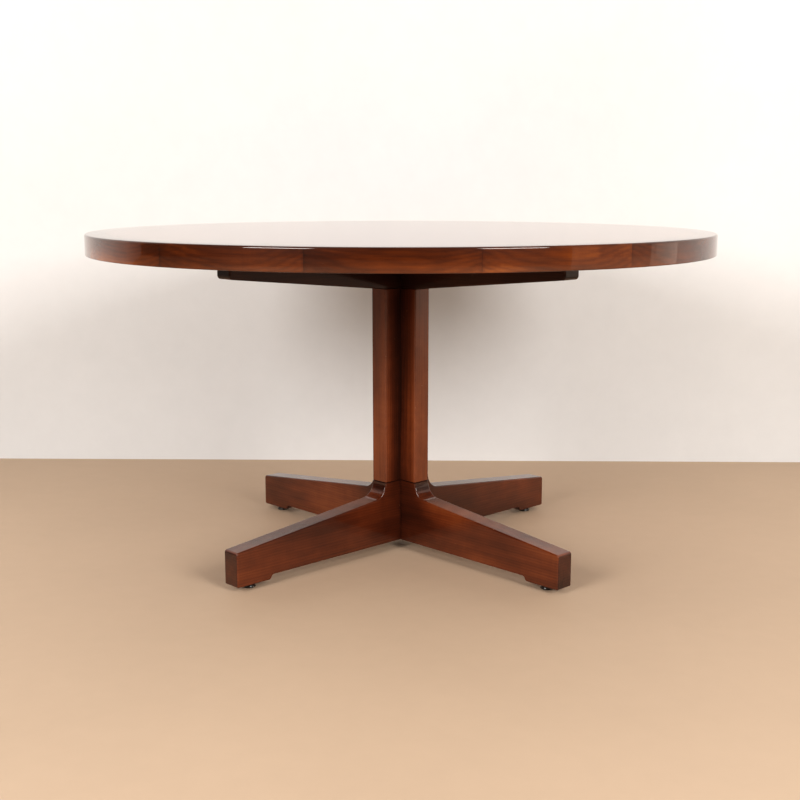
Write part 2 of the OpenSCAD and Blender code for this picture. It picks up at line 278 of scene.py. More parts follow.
# ---- Glide bases ------------------------------------------------------------------
# Each base is a pressed steel dome, enamelled dark brown, with a rolled lip round its
# edge and a hole in its crown that the stem's neck turns in.


def enamel():
    """Dark enamel on pressed steel, worn through to the metal in small chips."""
    finish = Finish("dark enamel", coat_weight=0.5, coat_roughness=0.2)
    place = finish.object_place()
    chips = finish.noise(place, 900, 3, 0.7).step(0.17, 0.22)
    dust = finish.noise(place, 150, 4)
    finish.set("Base Color", finish.mix(chips, (0.022, 0.017, 0.014, 1), (0.35, 0.33, 0.30, 1)))
    finish.set("Metallic", chips)
    finish.set("Roughness", 0.34 + 0.2 * dust)
    finish.bump(chips * -1.0, 0.00004)
    return finish


enamel_finish = enamel()
neck_hole = 0.00305
socket_hole = 0.00455
lip = 0.0007
crown = 0.0065

for number in feet:
    low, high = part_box(f"glide_base_{number}")
    rim = (high.x - low.x) / 2
    floor_z = low.z
    crown_z = high.z
    socket_low = floor_z + 0.0011
    socket_high = floor_z + 0.0037
    rise = crown_z - floor_z - 2 * lip
    dome = arc((0, 0), 1, 0, 90, 20)
    profile = np.vstack([
        [[socket_hole, floor_z], [rim - lip, floor_z]],
        arc((rim - lip, floor_z + lip), lip, -90, 90, 8),
        np.stack([crown + (rim - 2.2 * lip - crown) * dome[:, 0] ** 0.9,
                  floor_z + 2 * lip + rise * dome[:, 1]], -1),
        [[neck_hole, crown_z], [neck_hole, socket_high], [socket_hole, socket_high],
         [socket_hole, socket_low]],
    ])
    base = lathe(f"glide_{number}", profile[:, 0], profile[:, 1], foot_centre(number), loop=True)
    fit_out(base, enamel_finish, f"foot_{number}", "glide_shell", f"glide_base_{number}")

# ---- Glide stems ------------------------------------------------------------------
# A turned steel stem: a round foot that swivels in the base, a neck, a hexagon collar
# for a spanner and an M8 thread that screws up into the leg.


def bright_steel(name, colour, rough):
    """Zinc-plated steel: a cool grey with fine turning marks and a few darker stains."""
    finish = Finish(name, metallic=1.0)
    place = finish.object_place()
    stain = finish.noise(place, 90, 4, 0.6).step(0.0, 0.35)
    turning = finish.noise(finish.stretch(place, (200, 200, 9000)), 1, 2)
    stained = (colour[0] * 0.55, colour[1] * 0.52, colour[2] * 0.46, 1)
    finish.set("Base Color", finish.mix(stain, (*colour, 1), stained))
    finish.set("Roughness", rough + 0.18 * stain + 0.12 * turning)
    finish.bump(turning, 0.00001)
    return finish


stem_finish = bright_steel("plated steel", (0.50, 0.50, 0.48), 0.32)
thread_steps = 36
rows_a_turn = 8
pitch = 0.00125
stem_r = 0.004
stem_foot_r = 0.0045
stem_foot_ease = 0.0005
stem_foot_h = 0.0024
stem_neck_r = 0.003
collar_flats = 0.013
collar_h = 0.0032


def thread(radius, depth, low, high):
    """Radii and heights of a screw thread. At angle a and height z the radius is
    radius - depth * v, where v runs evenly from 0 to 1 and back once in each pitch of the
    phase z / pitch - a / 2 pi. Over the last half pitch at both ends, v rises to 1."""
    rows = int((high - low) / pitch * rows_a_turn)
    z = np.linspace(low, high, rows)[:, None]
    turn = np.arange(thread_steps)[None, :] / thread_steps
    phase = (z / pitch - turn) % 1
    valley = np.abs(2 * phase - 1)
    fade = np.clip(np.minimum(z - low, high - z) / (0.5 * pitch), 0, 1)
    return radius - depth * (1 - fade * (1 - valley)), z + 0 * turn


def hexagon(flats, steps):
    """Radius of a hexagon, by angle: the half width across flats over the cosine of the
    angle from the nearest flat's middle."""
    angle = np.linspace(0, 2 * math.pi, steps, endpoint=False)
    from_flat = (angle + math.pi / 6) % (math.pi / 3) - math.pi / 6
    return flats / 2 / np.cos(from_flat)


def chamfered_hexagon(flats, low, high, steps):
    """Rows of a hexagon nut's side, its corners cut at both ends by a cone of 30 degrees."""
    corner = hexagon(flats, steps)
    cone = flats / 2
    cut = (corner - cone) * math.tan(math.radians(30))
    radius = np.stack([np.full(steps, cone * 0.985), np.full(steps, cone), corner, corner,
                       np.full(steps, cone), np.full(steps, cone * 0.985)])
    height = np.stack([np.full(steps, low), np.full(steps, low), low + cut, high - cut,
                       np.full(steps, high), np.full(steps, high)])
    return radius, height


for number in feet:
    low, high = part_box(f"glide_stem_{number}")
    base_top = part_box(f"glide_base_{number}")[1].z
    foot_top = low.z + stem_foot_h
    collar_low = base_top + 0.0003
    collar_high = collar_low + collar_h
    ring = np.ones(thread_steps)
    collar_r, collar_z = chamfered_hexagon(collar_flats, collar_low, collar_high, thread_steps)
    thread_r, thread_z = thread(stem_r, 0.0006, collar_high + 0.0004, high.z - 0.0005)
    radius = np.vstack([[(stem_foot_r - stem_foot_ease) * ring, stem_foot_r * ring,
                         stem_foot_r * ring, stem_neck_r * ring, stem_neck_r * ring],
                        collar_r, [0.85 * stem_r * ring], thread_r, [0.7 * stem_r * ring]])
    height = np.vstack([[low.z * ring, low.z * ring, foot_top * ring, foot_top * ring,
                         collar_low * ring], collar_z, [collar_high * ring], thread_z,
                        [high.z * ring]])
    stem = lathe(f"stem_{number}", radius, height, foot_centre(number), crease=25)
    fit_out(stem, stem_finish, f"stem_{number}", "stem_steel", f"glide_stem_{number}")

# ---- Leg beams --------------------------------------------------------------------
# Two full-length beams of stained hardwood make the X of the base. They cross in a lap
# joint, slope down to the feet, and sweep up into the column with a hollow fillet. Their
# arrises are rounded by hand and the lacquer is polished, so they catch the light.

board_t = 0.044
lap_gap = 0.0001
rounding = 0.003
rounding_steps = 6
leg_low, leg_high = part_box("leg_beam_a")
seam_z = leg_high.z
pad_z = leg_low.z
leg_r = (leg_high.x * math.sqrt(2) * 2 - board_t) / 2
foot_half = 0.068
relief_h = 0.010
relief_z = pad_z + relief_h
pad_l = 0.087
pad_inner = leg_r - pad_l
leg_end_z = 0.0855
leg_root_z = 0.131
slope = math.atan((leg_root_z - leg_end_z) / (leg_r - foot_half))
fillet = (seam_z - leg_root_z) * math.cos(slope) / (1 - math.sin(slope))
lap_z = (relief_z + seam_z) / 2
notch = board_t / 2 + lap_gap
ease = 0.0009
seam_share = ease / rounding


def wood(name, stops, figure=1.2, bands=0.25, coat=1.0, coat_roughness=0.025, corner=0.4,
         corner_r=0.075):
    """Lacquered timber. It reads the piece's own board coordinates, "grain": along the
    fibres, across them and into the board, in metres from the tree's pith. Growth rings are
    the distance from the pith, bent by noise. Streaks, pores and soft patches of light and
    dark are noise drawn out along the fibres, and curl is noise drawn out across them. The
    stain lies thicker on end grain, as "end" says, and in the glued joint. Near the table's
    axis, where boards meet in inside corners, the colour is darkened as painted shade. "arris"
    is 1 on rounded edges, which are painted darker as a dark reflection, and are rubbed
    lighter and nicked here and there."""
    finish = Finish(name, specular_ior_level=0.1, coat_weight=coat,
                    coat_roughness=coat_roughness, coat_ior=1.5)
    grain, tone, arris, end = [
        finish.node("ShaderNodeAttribute", {"attribute_name": held}, output=kind)
        for held, kind in (("grain", "Vector"), ("tone", "Fac"), ("arris", "Fac"), ("end", "Fac"))
    ]
    along, across, inward = finish.parts(grain)
    x, y, z = finish.parts(finish.object_place())

    bend = finish.noise(finish.stretch(grain, (1.6, 7, 7)), 1, 3)
    sway = finish.noise(finish.stretch(grain, (0.7, 2, 2)), 1, 1)
    from_pith = ((across + 0.05 * sway) ** 2.0 + (inward + 0.05 * bend) ** 2.0) ** 0.5
    ring = ((from_pith / 0.006 + 1.6 * bend).fraction() * 2 - 1).absolute()
    late = ring ** 1.6

    patch = finish.noise(finish.stretch(grain, (4, 10, 10)), 1, 3, 0.5)
    curl = finish.noise(finish.stretch(grain, (70, 8, 8)), 1, 2) * (patch + 0.1).step(0.0, 0.2)
    band = finish.noise(finish.stretch(grain, (1.6, 60, 60)), 1, 3, 0.55)
    streak = finish.noise(finish.stretch(grain, (5, 330, 330)), 1, 6, 0.62)
    fibre = finish.noise(finish.stretch(grain, (38, 2100, 2100)), 1, 3, 0.6)
    pore = finish.noise(finish.stretch(grain, (110, 2300, 2300)), 1, 1).step(0.12, 0.24)

    rub = finish.noise(finish.object_place(), 24, 4, 0.65).step(0.02, 0.2) * arris
    nick = finish.noise(finish.object_place(), 170, 2, 0.5).step(0.25, 0.29) * arris
    # Painted shade: darker towards the table's axis, where boards meet in inside corners, and
    # darkest in a narrow band right in the corner.
    from_axis = (x ** 2.0 + y ** 2.0) ** 0.5
    shade = 1 - 0.8 * from_axis.step(0.03, corner_r) - 0.2 * from_axis.step(0.031, 0.036)
    joint = 1 - (z - seam_z).absolute().step(0.0006, 0.0018)
    # Below, 0.1 * arris paints a dark reflection line along the rounded edges, and corner * shade
    # paints the corner shade.
    light = (0.5 + tone + figure * patch + 0.12 * curl + bands * band - 0.08 * late
             + 0.26 * streak + 0.12 * fibre - 0.14 * pore + 0.1 * rub - 0.1 * arris
             - corner * shade - 0.36 * end.step(0.55, 0.9) - 0.5 * joint)
    stain = finish.ramp(light, stops)
    finish.set("Base Color", finish.mix(0.8 * nick, stain, (0.36, 0.20, 0.11, 1)))
    finish.set("Roughness", 0.45 + 0.2 * fibre + 0.1 * pore)
    finish.bump(0.4 * fibre - pore - 2.0 * nick, 0.00003)
    return finish


def cut_from(piece, origin, along, across, lot, tone=0.0):
    """Writes a piece's board coordinates: each point's distances from origin along the
    fibres, across them and into the board, moved along by lot so that no two are alike.
    With s the square of the normal's share of the way into the board, its arris value is
    4 s (1 - s), which is 0 on faces and edges and 1 halfway round between them. Its end
    value is the square of the normal's share of the way along the fibres."""
    mesh = piece.data
    place = np.empty(len(mesh.vertices) * 3, np.float32)
    mesh.vertices.foreach_get("co", place)
    place = place.reshape(-1, 3) - np.array(origin, np.float32)
    normal = np.empty(len(mesh.vertices) * 3, np.float32)
    mesh.vertices.foreach_get("normal", normal)
    normal = normal.reshape(-1, 3)
    along = np.array(along, float) / np.linalg.norm(along)
    across = np.array(across, float) / np.linalg.norm(across)
    inward = np.cross(along, across)
    grain = np.stack([place @ along + 3.7 * lot, place @ across, place @ inward], -1)
    side = (normal @ inward) ** 2
    held = mesh.attributes.new("grain", "FLOAT_VECTOR", "POINT")
    held.data.foreach_set("vector", grain.astype(np.float32).ravel())
    for name, value in (("arris", 4 * side * (1 - side)), ("end", (normal @ along) ** 2),
                        ("tone", np.broadcast_to(tone, len(place)))):
        held = mesh.attributes.new(name, "FLOAT", "POINT")
        held.data.foreach_set("value", value.astype(np.float32))


def board(name, outline, shares, thickness, rounding, turn):
    """A board with rounded arrises. The outline, in distance from the axis and height, is
    carried through the thickness; at depth rounding * (1 - cos b) below a face it stands in
    by rounding * (1 - sin b) times its edge's share, for b from 0 to 90 degrees. Each corner
    moves so that both edges that meet there stand in by their own share."""
    edge = np.roll(outline, -1, 0) - outline
    normal = np.stack([edge[:, 1], -edge[:, 0]], -1)
    normal /= np.linalg.norm(normal, axis=1, keepdims=True)
    before = np.roll(normal, 1, 0)
    share = np.asarray(shares, float)
    share_before = np.roll(share, 1)
    cross = before[:, 0] * normal[:, 1] - before[:, 1] * normal[:, 0]
    flat = np.abs(cross) < 0.02
    safe = np.where(flat, 1.0, cross)
    inset = np.stack([share_before * normal[:, 1] - share * before[:, 1],
                      share * before[:, 0] - share_before * normal[:, 0]], -1) / safe[:, None]
    smooth = 0.5 * (before * share_before[:, None] + normal * share[:, None])
    inset = np.where(flat[:, None], smooth, inset)

    bend = np.radians(np.linspace(0, 90, rounding_steps + 1))
    depth = np.concatenate([-thickness / 2 + rounding * (1 - np.cos(bend)),
                            thickness / 2 - rounding * (1 - np.cos(bend[::-1]))])
    stand_in = rounding * np.concatenate([1 - np.sin(bend), 1 - np.sin(bend[::-1])])
    flat_place = outline[None] - stand_in[:, None, None] * inset[None]
    reach = flat_place[..., 0]
    aside = depth[:, None] + 0 * reach
    c, s = math.cos(math.radians(turn)), math.sin(math.radians(turn))
    points = np.stack([reach * c - aside * s, reach * s + aside * c, flat_place[..., 1]], -1)
    return solid(name, points, grid_faces(*reach.shape))


def joined(name, pieces):
    """Makes one piece of several that a maker would count as one set."""
    points = []
    faces = []
    for piece in pieces:
        mesh = piece.data
        first = len(points)
        points += [v.co[:] for v in mesh.vertices]
        faces += [[first + v for v in face.vertices] for face in mesh.polygons]
        bpy.data.objects.remove(piece)
    return solid(name, np.array(points), faces)


def bore(start, way, *steps):
    """A cutter for a stepped hole that begins at start and runs along way. Each step is its
    radius and the distance from start at which it ends."""
    radius = np.repeat([r for r, end in steps], 2)
    height = np.concatenate([[0], np.repeat([end for r, end in steps], 2)[:-1]])
    cutter = lathe("cutter", radius, height, steps=48)
    way = np.array(way, float)
    side = np.cross(way, [1, 0, 0] if abs(way[0]) < 0.9 else [0, 1, 0])
    side /= np.linalg.norm(side)
    turn = np.stack([side, np.cross(way, side), way])
    place = np.empty(len(cutter.data.vertices) * 3, np.float32)
    cutter.data.vertices.foreach_get("co", place)
    moved = place.reshape(-1, 3) @ turn + np.array(start)
    cutter.data.vertices.foreach_set("co", moved.astype(np.float32).ravel())
    return cutter


def cut_away(piece, cutter):
    """Cuts the cutter's shape out of a piece, and removes the cutter."""
    cut = piece.modifiers.new("cut", "BOOLEAN")
    cut.object = cutter
    cut.operation = "DIFFERENCE"
    cut.solver = "EXACT"
    graph = bpy.context.evaluated_depsgraph_get()
    graph.update()
    whole = piece.data
    piece.data = bpy.data.meshes.new_from_object(piece.evaluated_get(graph))
    piece.modifiers.remove(cut)
    bpy.data.meshes.remove(whole)
    bpy.data.objects.remove(cutter)


def drill(piece, bores):
    """Cuts the bores in a piece, and evens the shading of its faces."""
    cut_away(piece, joined("cutters", bores))
    piece.data.shade_smooth()
    piece.data.set_sharp_from_angle(angle=math.radians(32))
    even = piece.modifiers.new("even shading", "WEIGHTED_NORMAL")
    even.keep_sharp = True


def on_diagonal(turn, reach, height):
    """The point at a distance from the axis, along a direction given in degrees."""
    return (reach * math.cos(math.radians(turn)), reach * math.sin(math.radians(turn)), height)


def both_sides(half, shares):
    """Closes a half outline, which runs from its first point on the axis to its last, with
    its mirror image. Each share is that of the edge that starts at its point."""
    half = np.array(half)
    shares = np.array(shares)
    other = half[1:-1][::-1] * [-1, 1]
    return np.vstack([half, other]), np.concatenate([shares[:-1], shares[:-1][::-1]])


def leg_outline(notch_above):
    """The outline of a leg beam: level relief, ramp, pad, rounded end, sloping top, hollow
    fillet and seam, with the lap's notch above or below. The arrises above are rounded
    fully, those below by half, and faces that meet another board not at all."""
    top_corner = 0.006
    low_corner = 0.004
    ramp_run = 0.005
    ramp_blend = 0.003
    tilt = math.degrees(slope)
    half = []
    shares = []

    def add(points, share):
        half.extend(np.atleast_2d(points).tolist())
        shares.extend([share] * len(np.atleast_2d(points)))

    if notch_above:
        add([0.0, relief_z], 0.5)
    else:
        add([0.0, lap_z], 0.0)
        add([notch, lap_z], 0.0)
        add([notch, relief_z], 0.5)
    ramp = np.array([ramp_run, -relief_h])
    inner = np.array([pad_inner - ramp_run, relief_z])
    add(inner - [ramp_blend, 0], 0.5)
    add(inner + ramp * 0.2, 0.5)
    add(inner + ramp * 0.8, 0.5)
    add([pad_inner + ramp_blend, pad_z], 0.5)
    add(arc((leg_r - low_corner, pad_z + low_corner), low_corner, -90, 0, 6), 0.9)
    end_centre = (leg_r - top_corner, leg_end_z - top_corner * (1 - math.sin(slope)))
    add(arc(end_centre, top_corner, 0, 90 - tilt, 8), 1.0)
    add(arc((foot_half + fillet, seam_z - ease), fillet - ease, 270 - tilt, 180, 28), 1.0)
    add([foot_half - ease, seam_z], seam_share)
    if notch_above:
        add([notch, seam_z], 0.0)
        add([notch, lap_z], 0.0)
        add([0.0, lap_z], 0.0)
    else:
        add([0.0, seam_z], 0.0)
    return both_sides(half, shares)


# The legs take painted shade that deepens towards their roots at the column.
leg_finish = wood("leg wood", [
    (0.0, (0.022, 0.0042, 0.0014)),
    (0.3, (0.056, 0.0112, 0.0032)),
    (0.55, (0.112, 0.0240, 0.0062)),
    (0.8, (0.185, 0.0460, 0.0120)),
    (1.0, (0.270, 0.0800, 0.0230)),
], corner=0.3, corner_r=0.15)

up = (0, 0, 1)
past = 0.01
rod_hole = 0.006
dowel_hole = 0.00605
dowel_depth = 0.032
dowel_at = 0.046
glide_at = math.hypot(*foot_centre(1))
pocket_r = 0.016
pocket_h = 0.018
insert_flange_t = 0.0016
insert_bore = ((0.0101, pad_z + insert_flange_t), (0.0058, pad_z + 0.0161), (0.0046, 0.0467))

for name, turn, notch_above, lot, tone in (("leg_beam_a", 45, True, 1, -0.06),
                                           ("leg_beam_b", 135, False, 2, 0.06)):
    outline, shares = leg_outline(notch_above)
    beam = board(name.replace("beam", "board"), outline, shares, board_t, rounding, turn)
    pocket = [(pocket_r, relief_z + pocket_h)] if notch_above else []
    holes = [bore((0, 0, 0), up, *pocket, (rod_hole, seam_z + past))]
    for side in (-1, 1):
        foot = on_diagonal(turn, side * glide_at, 0)
        dowel = on_diagonal(turn, side * dowel_at, seam_z - dowel_depth)
        holes.append(bore(foot, up, *insert_bore))
        holes.append(bore(dowel, up, (dowel_hole, dowel_depth + past)))
    drill(beam, holes)
    cut_from(beam, (0, 0, -0.11), on_diagonal(turn, 1, 0), up, lot, tone)
    fit_out(beam, leg_finish, "table", "leg_wood", name)

# ---- Threaded inserts -------------------------------------------------------------
# A flanged steel insert is driven up into each foot, its flange let in flush with the
# pad. The stem's thread runs in it.

insert_finish = bright_steel("insert steel", (0.56, 0.53, 0.44), 0.4)
insert_thread_r = 0.00405
insert_barrel_r = 0.00575
insert_ease = 0.0003

for number in feet:
    low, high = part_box(f"glide_insert_{number}")
    flange_r = (high.x - low.x) / 2
    flange_top = low.z + insert_flange_t
    profile = np.array([[insert_thread_r, low.z], [flange_r - insert_ease, low.z],
                        [flange_r, low.z + insert_ease], [flange_r, flange_top],
                        [insert_barrel_r, flange_top], [insert_barrel_r, high.z],
                        [insert_thread_r, high.z]])
    insert = lathe(f"insert_{number}", profile[:, 0], profile[:, 1], foot_centre(number), loop=True)
    fit_out(insert, insert_finish, "table", "insert_steel", f"glide_insert_{number}")

# ---- Column -----------------------------------------------------------------------
# The column is a cross in plan: one wide board and a narrow fin glued to each of its
# faces, all tapering a little towards the floor. Its arrises match those of the legs.

# Painted shade darkens the column's inside corners, between the board and the fins.
column_finish = wood("column wood", [
    (0.0, (0.026, 0.0052, 0.0015)),
    (0.3, (0.080, 0.0165, 0.0042)),
    (0.55, (0.165, 0.0390, 0.0095)),
    (0.8, (0.260, 0.0720, 0.0190)),
    (1.0, (0.340, 0.1080, 0.0330)),
], figure=0.8, corner=0.5, coat_roughness=0.2)

top_half = 0.0695
column_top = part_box("column_board")[1].z
cross_pitch = 0.13
cross_heights = [(seam_z + column_top) / 2 + cross_pitch * k for k in (-1, 0, 1)]
cross_hole = 0.00405
cross_depth = 0.0111
cross_reach = 0.0312


def column_holes(turn, sides):
    """The dowel holes in both ends of a column board that reaches out along turn."""
    places = [on_diagonal(turn, side * dowel_at, low)
              for side in sides for low in (seam_z - past, column_top - dowel_depth)]
    return [bore(place, up, (dowel_hole, dowel_depth + past)) for place in places]


def cross_dowel_holes(turn, sides):
    """The holes for the short dowels that run level across the glued joint."""
    return [bore(on_diagonal(turn, side * (board_t / 2 - cross_depth), height),
                 on_diagonal(turn, side, 0), (cross_hole, cross_reach))
            for side in sides for height in cross_heights]


outer = [[foot_half - ease, seam_z], [foot_half, seam_z + ease], [top_half, column_top - ease],
         [top_half - ease, column_top]]
outer_shares = [1.0, 1.0, 1.0, seam_share]
wide = np.array(outer + [[-x, z] for x, z in outer[::-1]])
centre_board = board("column_centre", wide, outer_shares + outer_shares[-2::-1] + [seam_share],
                     board_t, rounding, 45)
drill(centre_board, [bore((0, 0, seam_z - past), up, (rod_hole, column_top - seam_z + 2 * past))]
      + column_holes(45, (-1, 1)) + cross_dowel_holes(135, (-1, 1)))
cut_from(centre_board, (0.03, 0.02, 0), up, (1, 1, 0), 3)
fit_out(centre_board, column_finish, "table", "column_wood", "column_board")

# The right fin's tone of 0.07 is partly its own wood and partly a painted sheen of the warm light
# from the right.
for name, turn, lot, tone in (("column_fin_left", 135, 4, -0.02),
                              ("column_fin_right", 315, 5, 0.07)):
    inner = board_t / 2
    narrow = np.array([[inner, seam_z]] + outer + [[inner, column_top]])
    fin = board(name.replace("column_", ""), narrow, [seam_share] + outer_shares + [0], board_t,
                rounding, turn)
    drill(fin, column_holes(turn, (1,)) + cross_dowel_holes(turn, (1,)))
    cut_from(fin, (0.05, -0.04, 0), up, (1, 1, 0), lot, tone)
    fit_out(fin, column_finish, "table", "column_wood", name)

# ---- Tie rod ----------------------------------------------------------------------
# A steel rod runs up the middle from the legs to the bearers. A nut on a washer at each
# end, sunk in a counterbore, pulls the laps and the column together.

rod_finish = bright_steel("rod steel", (0.54, 0.54, 0.52), 0.36)
rod_low, rod_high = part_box("tie_rod")
rod_r = 0.005
rod_tip_r = 0.004
rod_tip = 0.0008
rod_thread_l = 0.03
rod_runout = 0.001
rod_ring = np.ones(thread_steps)
lower_r, lower_z = thread(rod_r, 0.0007, rod_low.z + rod_tip, rod_low.z + rod_thread_l)
upper_r, upper_z = thread(rod_r, 0.0007, rod_high.z - rod_thread_l, rod_high.z - rod_tip)
shank_low = rod_low.z + rod_thread_l + rod_runout
shank_high = rod_high.z - rod_thread_l - rod_runout
tie_rod = lathe(
    "rod",
    np.vstack([[rod_tip_r * rod_ring], lower_r, [rod_r * rod_ring, rod_r * rod_ring], upper_r,
               [rod_tip_r * rod_ring]]),
    np.vstack([[rod_low.z * rod_ring], lower_z, [shank_low * rod_ring, shank_high * rod_ring],
               upper_z, [rod_high.z * rod_ring]]),
    crease=25,
)
fit_out(tie_rod, rod_finish, "table", "rod_steel", "tie_rod")

nuts_low, nuts_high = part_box("tie_rod_nuts")
nut_flats = 0.017
nut_h = 0.008
nut_steps = 48
washers_low, washers_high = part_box("tie_rod_washers")
washer_r = 0.014
washer_t = 0.0025
washer_hole = 0.0051


def nut(low):
    """A hexagon nut with a bore, which widens by a small chamfer at both ends."""
    radius, height = chamfered_hexagon(nut_flats, low, low + nut_h, nut_steps)
    ring = np.ones(nut_steps)
    inner = 0.00505 * ring
    wide = inner + 0.0004
    chamfer = 0.0005
    radius = np.vstack([[wide], radius, [wide, inner, inner]])
    height = np.vstack([[low * ring], height, [(low + nut_h) * ring, (low + nut_h - chamfer) * ring,
                                               (low + chamfer) * ring]])
    return lathe("nut", radius, height, loop=True)


def washer(low):
    """A plain washer with eased outer edges."""
    high = low + washer_t
    face_r = washer_r - 0.0002
    profile = np.array([[washer_hole, low], [face_r, low], [washer_r, low + 0.0003],
                        [washer_r, high - 0.0003], [face_r, high], [washer_hole, high]])
    return lathe("washer", profile[:, 0], profile[:, 1], loop=True)


nuts = joined("nuts", [nut(nuts_low.z), nut(nuts_high.z - nut_h)])
fit_out(nuts, rod_finish, "table", "rod_steel", "tie_rod_nuts")
washers = joined("washers", [washer(washers_low.z), washer(washers_high.z - washer_t)])
fit_out(washers, rod_finish, "table", "rod_steel", "tie_rod_washers")

# ---- Bearers ----------------------------------------------------------------------
# Two long boards cross under the top and carry it. They taper in depth towards their
# ends, and are coloured darker and coated duller than what stands in view.

# Near the axis the bearers also take painted corner shade.
bearer_finish = wood("bearer wood", [
    (0.0, (0.012, 0.0040, 0.0022)),
    (0.35, (0.030, 0.0090, 0.0045)),
    (0.6, (0.055, 0.0160, 0.0070)),
    (1.0, (0.120, 0.0380, 0.0150)),
], figure=0.8, coat=0.5, coat_roughness=0.10, corner=0.2)

bearer_low, bearer_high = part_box("bearer_a")
under_z = bearer_high.z
bearer_r = (bearer_high.x * math.sqrt(2) * 2 - board_t) / 2
bearer_root = bearer_low.z
bearer_end_h = 0.038
bearer_end = under_z - bearer_end_h
bearer_lap = (bearer_root + under_z) / 2
bearer_rounding = 0.003
screw_in = 0.19
screw_inset = 0.089
screw_spots = [screw_in, bearer_r - screw_inset]
wood_above_screw = 0.028
screw_seat = under_z - wood_above_screw
screw_r = 0.0025
screw_clear = 0.00005
counterbore_r = 0.006


def bearer_outline(notch_above):
    """The outline of a bearer: level root, tapered underside, rounded end and level top."""
    corner = 0.008
    half = [] if notch_above else [[0.0, bearer_lap], [notch, bearer_lap]]
    half += [[0.0 if notch_above else notch, bearer_root], [top_half, bearer_root]]
    shares = [0.8, 0.8] if notch_above else [0.0, 0.0, 0.8, 0.8]
    end = arc((bearer_r - corner, bearer_end + corner), corner, -84, 0, 8)
    half += end.tolist() + [[bearer_r, under_z]]
    shares += [1.0] * len(end) + [0.0]
    if notch_above:
        half += [[notch, under_z], [notch, bearer_lap], [0.0, bearer_lap]]
        shares += [0.0, 0.0, 0.0]
    else:
        half += [[0.0, under_z]]
        shares += [0.0]
    return both_sides(half, shares)


for name, turn, notch_above, lot in (("bearer_a", 45, True, 6), ("bearer_b", 135, False, 7)):
    outline, shares = bearer_outline(notch_above)
    bearer = board(name.replace("bearer", "crosspiece"), outline, shares, board_t,
                   bearer_rounding, turn)
    low = bearer_root - past
    through = under_z + past - low
    if notch_above:
        holes = [bore((0, 0, low), up, (rod_hole, through))]
    else:
        holes = [bore((0, 0, low), up, (rod_hole, under_z - pocket_h - low), (pocket_r, through))]
    for side in (-1, 1):
        dowel = on_diagonal(turn, side * dowel_at, low)
        holes.append(bore(dowel, up, (dowel_hole, dowel_depth + past)))
        for spot in screw_spots:
            holes.append(bore(on_diagonal(turn, side * spot, low), up,
                              (counterbore_r, screw_seat - low), (screw_r + screw_clear, through)))
    drill(bearer, holes)
    cut_from(bearer, (0, 0, 0.5), on_diagonal(turn, 1, 0), up, lot)
    fit_out(bearer, bearer_finish, "table", "bearer_wood", name)

# ---- Bearer screws ----------------------------------------------------------------
# Eight slotted wood screws, driven up through counterbores in the bearers, hold the top.

screw_finish = bright_steel("screw steel", (0.50, 0.45, 0.33), 0.42)
screw_l = 0.05
point_l = 0.005
head_r = 0.0055
head_h = 0.0035
slot_half = 0.0006


def wood_screw(centre):
    """A slotted pan head and a plain shank that ends in a point. The radius grows as the
    cosine of a quarter turn towards the head's face, which the slot then parts."""
    head = arc((0, 0), 1, 0, 62, 8)[::-1]
    radius = np.concatenate([head_r * head[:, 0], [head_r, screw_r, screw_r, 0.0004]])
    height = np.concatenate([screw_seat - head_h * head[:, 1] / head[0, 1],
                             [screw_seat, screw_seat, screw_seat + screw_l - point_l,
                              screw_seat + screw_l]])
    screw = lathe("screw", radius, height, centre, steps=32)
    corners = ((-past, -slot_half), (past, -slot_half), (past, slot_half), (-past, slot_half))
    slot_z = (screw_seat - 0.006, screw_seat - 0.6 * head_h)
    slot = np.array([[centre[0] + x, centre[1] + y, z] for z in slot_z for x, y in corners])
    cut_away(screw, solid("slot", slot, grid_faces(2, 4)))
    return screw


screws = joined("screws", [wood_screw(on_diagonal(turn, spot, 0)[:2])
                           for spot in screw_spots for turn in (45, 135, 225, 315)])
fit_out(screws, screw_finish, "table", "screw_steel", "bearer_screws")

# ---- Hidden joinery and the core --------------------------------------------------
# The beech dowels, the tongues behind the rim and the glued-up core are bare wood. They
# keep the shapes that they were cut to, and nobody sees them once the table is together.


def bare_wood(name, pale, dark, stretch):
    """Unfinished timber: dull, with streaks along the axis that stretch leaves longest."""
    finish = Finish(name)
    place = finish.object_place()
    streak = finish.noise(finish.stretch(place, stretch), 1, 5, 0.6)
    finish.set("Base Color", finish.mix(0.5 + streak, (*pale, 1), (*dark, 1)))
    finish.set("Roughness", 0.72 + 0.2 * streak)
    finish.bump(streak, 0.00008)
    return finish


beech = bare_wood("bare beech", (0.56, 0.38, 0.22), (0.42, 0.26, 0.14), (300, 300, 12))
core_stock = bare_wood("core strips", (0.52, 0.38, 0.24), (0.38, 0.26, 0.15), (4, 120, 120))
hidden = {
    "leg_dowels": beech,
    "bearer_dowels": beech,
    "column_cross_dowels": beech,
    "rim_tongues": beech,
    "top_core": core_stock,
}
for node, finish in hidden.items():
    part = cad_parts[node]
    part.data.materials.clear()
    part.data.materials.append(finish.material)

# ---- Rim --------------------------------------------------------------------------
# Fourteen solid blocks, butted end to end and grooved for a tongue, edge the top. Each
# is cut straight from its own board, so the figure and the tone change at every joint.

rim_finish = wood("rim wood", [
    (0.0, (0.020, 0.0040, 0.0008)),
    (0.3, (0.050, 0.0100, 0.0014)),
    (0.55, (0.108, 0.0230, 0.0024)),
    (0.8, (0.210, 0.0550, 0.0060)),
    (1.0, (0.330, 0.1100, 0.0200)),
], figure=1.6, bands=0.25)

rim_low, rim_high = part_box("rim_segment_01")
top_z = rim_high.z
top_under = rim_low.z
top_r = cad_box[1].x
rim_w = 0.044
field_r = top_r - rim_w
rim_count = 14
# Each block has its own tone; block 03, at the front right, is raised partly as a painted sheen of
# the warm light from the right.
tones = [0.05, -0.01, 0.05, 0.03, -0.03, 0.06, -0.05, 0.02, 0.07, -0.04, 0.03, -0.07, -0.01, -0.14]


